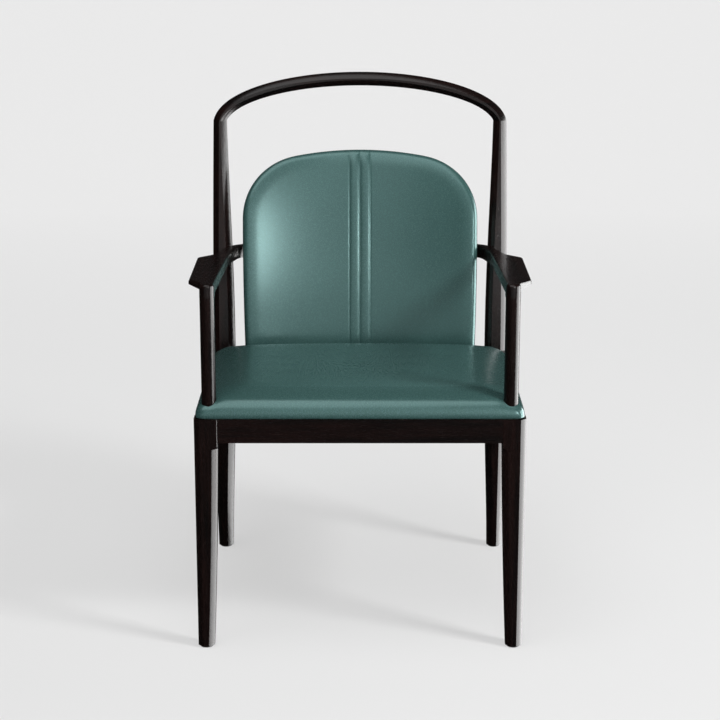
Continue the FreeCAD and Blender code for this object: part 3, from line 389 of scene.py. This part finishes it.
# Back panel: its face bulges forward in profile and is hollow in plan
def back_frame():
    """Middle lean, a point on the plan curve's axis, and the profile arc's centre seen from it."""
    lowest = math.sin(BACK_FOOT_LEAN)
    highest = math.asin(lowest + (BACK_HEAD - BACK_FOOT) / BACK_PROFILE)
    lean = (BACK_FOOT_LEAN + highest) / 2
    hub_y = BACK_FRONT + BACK_PROFILE * math.cos(BACK_FOOT_LEAN)
    hub_z = BACK_FOOT - BACK_PROFILE * math.sin(BACK_FOOT_LEAN)
    reach = BACK_PROFILE + BACK_PLAN
    axis_y = hub_y - reach * math.cos(lean)
    axis_z = hub_z + reach * math.sin(lean)
    return lean, axis_y, axis_z, reach


LEAN, AXIS_Y, AXIS_Z, AXIS_REACH = back_frame()


def back_at(across, up, depth, lowest):
    """Point of the back at a height in its tilted outline and a depth behind its front face."""
    y = BACK_FRONT
    for _ in range(BACK_SEARCH_ROUNDS):
        z = max(lowest, (up - y * math.sin(BACK_TILT)) / math.cos(BACK_TILT))
        along = (y - AXIS_Y) * math.sin(LEAN) + (z - AXIS_Z) * math.cos(LEAN)
        radius = AXIS_REACH - math.sqrt((BACK_PROFILE - depth) ** 2 - along ** 2)
        reach = math.sqrt(radius ** 2 - across ** 2) + (z - AXIS_Z) * math.sin(LEAN)
        y = AXIS_Y + reach / math.cos(LEAN)
    return Vector((across, y, z)) * MM


def rib_relief(across):
    """How far the two ribs stand out, and their three sewn grooves lie in, at a place across."""
    reach = abs(across)
    nearest = min(reach, abs(reach - RIB))
    groove = RIB_GROOVE * math.exp(-(nearest / RIB_GROOVE_WIDTH) ** 2)
    if reach >= RIB:
        return -groove
    return RIB_RAISE * (1 - ((reach - RIB / 2) / (RIB / 2)) ** 2) - groove


def pad_at(across, up, depth, inset):
    """Point of the front pad, whose ribs fade out over its edge."""
    if depth < RIB_FADE:
        depth -= rib_relief(across) * (1 - depth / RIB_FADE)
    return back_at(across, up, depth, BACK_FOOT + inset)


def plain_at(across, up, depth, inset):
    """Point of the rear cover, which has no ribs."""
    return back_at(across, up, depth, BACK_FOOT + inset)


def back_outline():
    """Outline of the back in a plane that leans with it."""
    lean = math.asin(math.sin(BACK_FOOT_LEAN) + (BACK_HEAD - BACK_FOOT) / BACK_PROFILE)
    set_back = BACK_PROFILE * (math.cos(BACK_FOOT_LEAN) - math.cos(lean))
    foot = BACK_FRONT * math.sin(BACK_TILT) + BACK_FOOT * math.cos(BACK_TILT)
    head = (BACK_FRONT + set_back) * math.sin(BACK_TILT) + BACK_HEAD * math.cos(BACK_TILT)
    return Outline(BACK_HALF, foot, head, BACK_FOOT_CORNER, BACK_SHOULDER, BACK_ARCH, BACK_NARROWING)


def back_columns(end):
    """Places across the back, close together at the ribs and their grooves."""
    right = [0.0, 0.8, 1.8, 3.4, 6.0, 10.0, 14.0, 16.6, 18.2, 19.2, 20.0, 20.8, 21.8, 23.4, 26.0, 31.0]
    right += spread((40.0, end), 15, 0.5)
    return [-place for place in reversed(right[1:])] + right


def back_pad():
    outline = back_outline()
    rings = []
    for inset in (PAD_BORDER, 29.0, 25.0, 21.0, 17.0, 13.5, 10.0, 7.4, 5.0, 3.4, 2.1, 1.1, 0.4, 0.05):
        slope = PAD_SLOPE * (1 - inset / PAD_BORDER) ** 2
        turn = max(0.0, 1 - inset / PAD_TURN)
        rings.append((inset, slope + PAD_ROUND * (1 - math.sqrt(1 - turn ** 2))))
    # Side of the pad, its hem, and the inside face against the board
    rings += [(0, RIB_FADE), (0, 20), (0, 26), (0, 32.4), (0.3, 33.3), (1.4, 33.3), (1.5, 21.4)]
    rings.append((PAD_BORDER, 21.4))
    columns = back_columns(outline.side(0, rings[0][0])[0])
    piece = upholstery("back_pad", outline, columns, spread((0, 1), 60, 0.3), rings, pad_at)
    return subdivided(piece, 1)


def back_cover():
    outline = back_outline()
    rings = [(9.0, 38.1), (6.0, 38.0), (3.4, 37.6), (1.5, 36.8), (0.4, 35.6), (0.0, 34.4), (0.3, 33.9)]
    rings.append((rings[0][0], 33.8))
    end = outline.side(0, rings[0][0])[0]
    columns = spread((-end, end), 40, 0.4)
    piece = upholstery("back_cover", outline, columns, spread((0, 1), 36, 0.3), rings, plain_at)
    return subdivided(piece, 1)


# Finishes
class Wire:
    """A shader socket on which sums can be written."""

    def __init__(self, finish, socket):
        self.finish = finish
        self.socket = socket

    def sum(self, operation, a, b):
        return self.finish.node("ShaderNodeMath", {"operation": operation}, {0: a, 1: b})

    def __add__(self, other):
        return self.sum("ADD", self, other)

    __radd__ = __add__

    def __sub__(self, other):
        return self.sum("SUBTRACT", self, other)

    def __rsub__(self, other):
        return self.sum("SUBTRACT", other, self)

    def __mul__(self, other):
        return self.sum("MULTIPLY", self, other)

    __rmul__ = __mul__


class Nodes:
    """Adds nodes to a shader tree."""

    def __init__(self, tree):
        self.tree = tree

    def node(self, kind, settings=None, sockets=None, out=0):
        """Add a node: its settings first, then the values or wires of its sockets."""
        made = self.tree.nodes.new(kind)
        for key, value in (settings or {}).items():
            setattr(made, key, value)
        for key, value in (sockets or {}).items():
            if isinstance(value, Wire):
                self.tree.links.new(value.socket, made.inputs[key])
            else:
                made.inputs[key].default_value = value
        return Wire(self, made.outputs[out])

    def place(self, scale=(1, 1, 1)):
        spot = self.node("ShaderNodeTexCoord", out="Object")
        return self.node("ShaderNodeMapping", None, {"Vector": spot, "Scale": scale})

    def noise(self, where, scale, detail=3.0, rough=0.5, distortion=0.0):
        values = {"Vector": where, "Scale": scale, "Detail": detail, "Roughness": rough}
        values["Distortion"] = distortion
        return self.node("ShaderNodeTexNoise", None, values, "Fac")

    def between(self, wire, low, high):
        """Stretch the range low to high of a wire over 0 to 1."""
        values = {"Value": wire, "From Min": low, "From Max": high}
        return self.node("ShaderNodeMapRange", {"clamp": True}, values)

    def mix(self, share, first, second):
        colours = {0: share, 6: first, 7: second}
        return self.node("ShaderNodeMix", {"data_type": "RGBA"}, colours, 2)

    def bump(self, height, strength, distance):
        values = {"Height": height, "Strength": strength, "Distance": distance}
        return self.node("ShaderNodeBump", None, values)


class Finish(Nodes):
    """A material around one Principled shader."""

    def __init__(self, name, **values):
        self.material = bpy.data.materials.new(name)
        self.material.use_nodes = True
        super().__init__(self.material.node_tree)
        self.shader = self.tree.nodes["Principled BSDF"]
        for socket, value in values.items():
            self.input(socket).default_value = value

    def input(self, socket):
        """The shader's input for a name such as base_color."""
        return self.shader.inputs[socket.replace("_", " ").title().replace("Ior", "IOR")]

    def feed(self, **wires):
        for socket, wire in wires.items():
            self.tree.links.new(wire.socket, self.input(socket))


GRAIN_ALONG = {"X": (0.05, 1, 1), "Y": (1, 0.05, 1), "Z": (1, 1, 0.05)}


def dark_wood(axis):
    """Espresso stained hardwood under satin lacquer, its grain along an axis."""
    finish = Finish("dark_wood_" + axis.lower(), specular_ior_level=0.26)
    where = finish.place(GRAIN_ALONG[axis])
    figure = finish.noise(where, 38, 5.0, 0.6, 0.6)
    streak = finish.noise(where, 240, 3.0, 0.6)
    pores = finish.noise(where, 1500, 2.0, 0.5)
    warm = finish.between(figure * 0.65 + streak * 0.35, 0.4, 0.68)
    colour = finish.mix(warm, (0.0034, 0.0024, 0.0023, 1), (0.0120, 0.0046, 0.0038, 1))
    open_pores = finish.between(pores, 0.60, 0.72)
    colour = finish.mix(open_pores * 0.5, colour, (0.0020, 0.0015, 0.0014, 1))
    finish.feed(
        base_color=colour,
        roughness=0.20 + 0.08 * streak + 0.10 * open_pores,
        normal=finish.bump(open_pores * -1 + streak * 0.4, 0.12, 0.0004),
    )
    return finish.material


def teal_leather():
    """Smooth corrected-grain leather: fine pebbles, faint shade changes."""
    finish = Finish("teal_leather", specular_ior_level=0.7, specular_tint=(0.62, 0.96, 0.94, 1))
    where = finish.place()
    pebbles = finish.node("ShaderNodeTexVoronoi", {"feature": "SMOOTH_F1"},
                          {"Vector": where, "Scale": 780, "Smoothness": 0.6}, "Distance")
    creases = finish.noise(where, 160, 4.0, 0.6, 0.8)
    cloud = finish.noise(where, 9, 3.0, 0.5)
    shade = finish.between(cloud * 0.7 + creases * 0.3, 0.3, 0.7)
    colour = finish.mix(shade, (0.029, 0.067, 0.063, 1), (0.034, 0.078, 0.073, 1))
    valley = finish.between(pebbles, 0.42, 0.75)
    colour = finish.mix(valley * 0.2, colour, (0.022, 0.046, 0.044, 1))
    finish.feed(
        base_color=colour,
        roughness=0.23 + 0.05 * creases + 0.04 * valley,
        normal=finish.bump(pebbles * -1 + creases * 0.5, 0.018, 0.0003),
    )
    return finish.material


def pale_wood(name, light, dark, axis):
    """Unfinished wood inside the seat frame."""
    finish = Finish(name, specular_ior_level=0.3)
    where = finish.place(GRAIN_ALONG[axis])
    rings = finish.noise(where, 60, 4.0, 0.6, 0.8)
    fibre = finish.noise(where, 900, 2.0, 0.6)
    colour = finish.mix(finish.between(rings * 0.7 + fibre * 0.3, 0.35, 0.65), light, dark)
    finish.feed(
        base_color=colour,
        roughness=0.62 + 0.15 * fibre,
        normal=finish.bump(fibre, 0.15, 0.0003),
    )
    return finish.material


def black_cloth():
    """Non-woven cloth under the seat."""
    finish = Finish("black_cloth", specular_ior_level=0.2)
    where = finish.place()
    felt = finish.noise(where, 1400, 4.0, 0.7)
    dots = finish.node("ShaderNodeTexVoronoi", {"feature": "F1"},
                       {"Vector": where, "Scale": 420, "Randomness": 0.1}, "Distance")
    pressed = finish.between(dots, 0.2, 0.4)
    tuft = finish.between(felt, 0.3, 0.7)
    colour = finish.mix(tuft, (0.010, 0.010, 0.011, 1), (0.026, 0.026, 0.028, 1))
    finish.feed(
        base_color=colour,
        roughness=0.8 + 0.15 * felt,
        normal=finish.bump(felt * 0.5 + pressed, 0.3, 0.0003),
    )
    return finish.material


def plain_finish(name, colour, worn, roughness, metallic, scale):
    """Steel or nylon with faint marks."""
    finish = Finish(name, metallic=metallic)
    marks = finish.noise(finish.place(), scale, 4.0, 0.6)
    finish.feed(
        base_color=finish.mix(finish.between(marks, 0.35, 0.7), colour, worn),
        roughness=roughness + 0.15 * marks,
        normal=finish.bump(marks, 0.08, 0.0002),
    )
    return finish.material


def dress(names, material):
    for name in names:
        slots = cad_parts[name].data.materials
        slots.clear()
        slots.append(material)


def paired(*names):
    return [name + side for name in names for side in ("_left", "_right")]


upright = dark_wood("Z")
across = dark_wood("X")
lengthwise = dark_wood("Y")
leather = teal_leather()
steel = plain_finish("zinc_steel", (0.50, 0.50, 0.49, 1), (0.38, 0.38, 0.37, 1), 0.28, 1.0, 500)
nylon = plain_finish("black_nylon", (0.012, 0.012, 0.012, 1), (0.022, 0.022, 0.022, 1), 0.5, 0.0, 700)
beech = pale_wood("beech", (0.55, 0.38, 0.22, 1), (0.40, 0.25, 0.13, 1), "X")
plywood = pale_wood("plywood", (0.60, 0.45, 0.28, 1), (0.46, 0.31, 0.17, 1), "Y")
dress(paired("front_leg", "rear_leg"), upright)
dress(["front_rail", "rear_rail", "back_rail", "top_rail", "arm_bolt_plugs"], across)
dress(paired("corner_block_front", "corner_block_rear"), across)
dress(paired("side_rail", "arm"), lengthwise)
dress(["back_dowels", "top_rail_dowels", "arm_dowels", "back_spacers"], beech)
dress(["seat_board", "back_board"], plywood)
dress(["corner_block_screws", "seat_screws", "arm_bolts", "back_screws"], steel)
dress(paired("foot_glide_front", "foot_glide_rear"), nylon)


def upholstered(piece, fill, *nodes):
    piece.data.materials.append(leather)
    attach(piece, "root")
    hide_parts(*nodes)


upholstered(seat_cushion(), 0.9, "seat_cover", "seat_foam")
upholstered(back_pad(), 0.9, "back_cover_front", "back_foam")
upholstered(back_cover(), 0.95, "back_cover_rear")
cloth, cloth_area = seat_cloth()
cloth.data.materials.append(black_cloth())
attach(cloth, "root")
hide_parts("seat_dust_cover")


# Studio
def studio_sweep():
    """Pale floor that curves up into a backdrop."""
    mesh = bmesh.new()
    left = mesh.verts.new((-SWEEP_HALF, -SWEEP_HALF, 0))
    right = mesh.verts.new((SWEEP_HALF, -SWEEP_HALF, 0))
    edge = mesh.edges.new((left, right))
    made = bmesh.ops.extrude_edge_only(mesh, edges=[edge])["geom"]
    verts = [item for item in made if isinstance(item, bmesh.types.BMVert)]
    bmesh.ops.translate(mesh, verts=verts, vec=(0, SWEEP_HALF + SWEEP_BEND, 0))
    edge = [item for item in mesh.edges if all(vert in verts for vert in item.verts)]
    bend = bmesh.ops.spin(
        mesh, geom=edge + verts, cent=(0, SWEEP_BEND, SWEEP_RADIUS), axis=(1, 0, 0),
        angle=math.pi / 2, steps=32,
    )["geom_last"]
    top = [item for item in bend if isinstance(item, bmesh.types.BMEdge)]
    made = bmesh.ops.extrude_edge_only(mesh, edges=top)["geom"]
    verts = [item for item in made if isinstance(item, bmesh.types.BMVert)]
    bmesh.ops.translate(mesh, verts=verts, vec=(0, 0, SWEEP_RISE))
    bmesh.ops.remove_doubles(mesh, verts=mesh.verts, dist=MM)
    bmesh.ops.recalc_face_normals(mesh, faces=mesh.faces)
    for face in mesh.faces:
        face.smooth = True
    sweep = piece_from(mesh, "studio_sweep")
    paper = Finish("pale_paper", roughness=0.9, specular_ior_level=0.0, emission_strength=1.0)
    seen = paper.node("ShaderNodeLightPath", out="Is Camera Ray")
    mirrored = paper.node("ShaderNodeLightPath", out="Is Glossy Ray")
    mottled = paper.noise(paper.place(), 3)
    plain = paper.mix(mottled, (0.78, 0.78, 0.78, 1), (0.80, 0.80, 0.80, 1))
    depth = paper.node("ShaderNodeSeparateXYZ", None, {0: paper.place()}, "Y")
    glow = paper.mix(paper.between(depth, -0.5, 4.0), (0.50, 0.50, 0.50, 1), (0.73, 0.73, 0.73, 1))
    paper.feed(
        base_color=paper.mix(seen, plain, (0.26, 0.26, 0.26, 1)),
        emission_color=paper.mix(seen, (0, 0, 0, 1), glow),
        alpha=1 - mirrored,
    )
    sweep.data.materials.append(paper.material)


def softbox(name, at, aim, size, power, lights=True, mirrored=True):
    """Area lamp that lights matt surfaces, shows in glossy ones, or does both."""
    data = bpy.data.lights.new(name, "AREA")
    data.shape = "RECTANGLE"
    data.size, data.size_y = size
    data.energy = power
    lamp = bpy.data.objects.new(name, data)
    lamp.visible_camera = False
    lamp.visible_diffuse = lights
    lamp.visible_glossy = mirrored
    bpy.context.scene.collection.objects.link(lamp)
    lamp.location = at
    lamp.rotation_euler = (Vector(aim) - Vector(at)).to_track_quat("-Z", "Y").to_euler()


studio_sweep()
softbox("top", (-0.45, -1.0, 3.0), (0, -0.1, 0.4), (2.2, 2.6), 51)
softbox("front", (0.25, -3.9, 2.2), (0, 0, 0.5), (2.0, 3.6), 31, mirrored=False)
softbox("front_glow", (0.3, -3.9, 2.3), (0.25, 0, 0.5), (2.2, 2.6), 19, lights=False)
softbox("low_glow", (0, -3.8, 0.75), (0, 0, 0.6), (5.0, 0.9), 14, lights=False)
softbox("key", (1.5, -3.2, 1.46), (0, 0.15, 0.7), (0.40, 0.75), 41, lights=False)
softbox("side", (2.7, -1.75, 2.75), (0, 0, 0.45), (0.8, 0.8), 130, mirrored=False)
softbox("right_wall", (3.0, 0.1, -0.4), (0, 0.1, -0.4), (4.0, 4.4), 640, lights=False)
world = bpy.data.worlds.new("studio")
bpy.context.scene.world = world
world.use_nodes = True
sky = Nodes(world.node_tree)
mirrored_sky = sky.node("ShaderNodeLightPath", out="Is Glossy Ray")
sky_colour = sky.mix(mirrored_sky, (0.15, 0.15, 0.15, 1), (0.02, 0.02, 0.02, 1))
sky.tree.links.new(sky_colour.socket, sky.tree.nodes["Background"].inputs["Color"])

camera_data = bpy.data.cameras.new("camera")
camera_data.sensor_width = CAMERA_SENSOR
camera_data.lens = CAMERA_LENS
camera = bpy.data.objects.new("camera", camera_data)
bpy.context.scene.collection.objects.link(camera)
camera.location = (0, -HALF_DEPTH * MM - CAMERA_DISTANCE, CAMERA_HEIGHT)
camera.rotation_euler = (math.radians(90 - CAMERA_DROP), 0, 0)
bpy.context.scene.camera = camera
bpy.context.scene.view_settings.view_transform = "Standard"

bpy.context.view_layer.update()
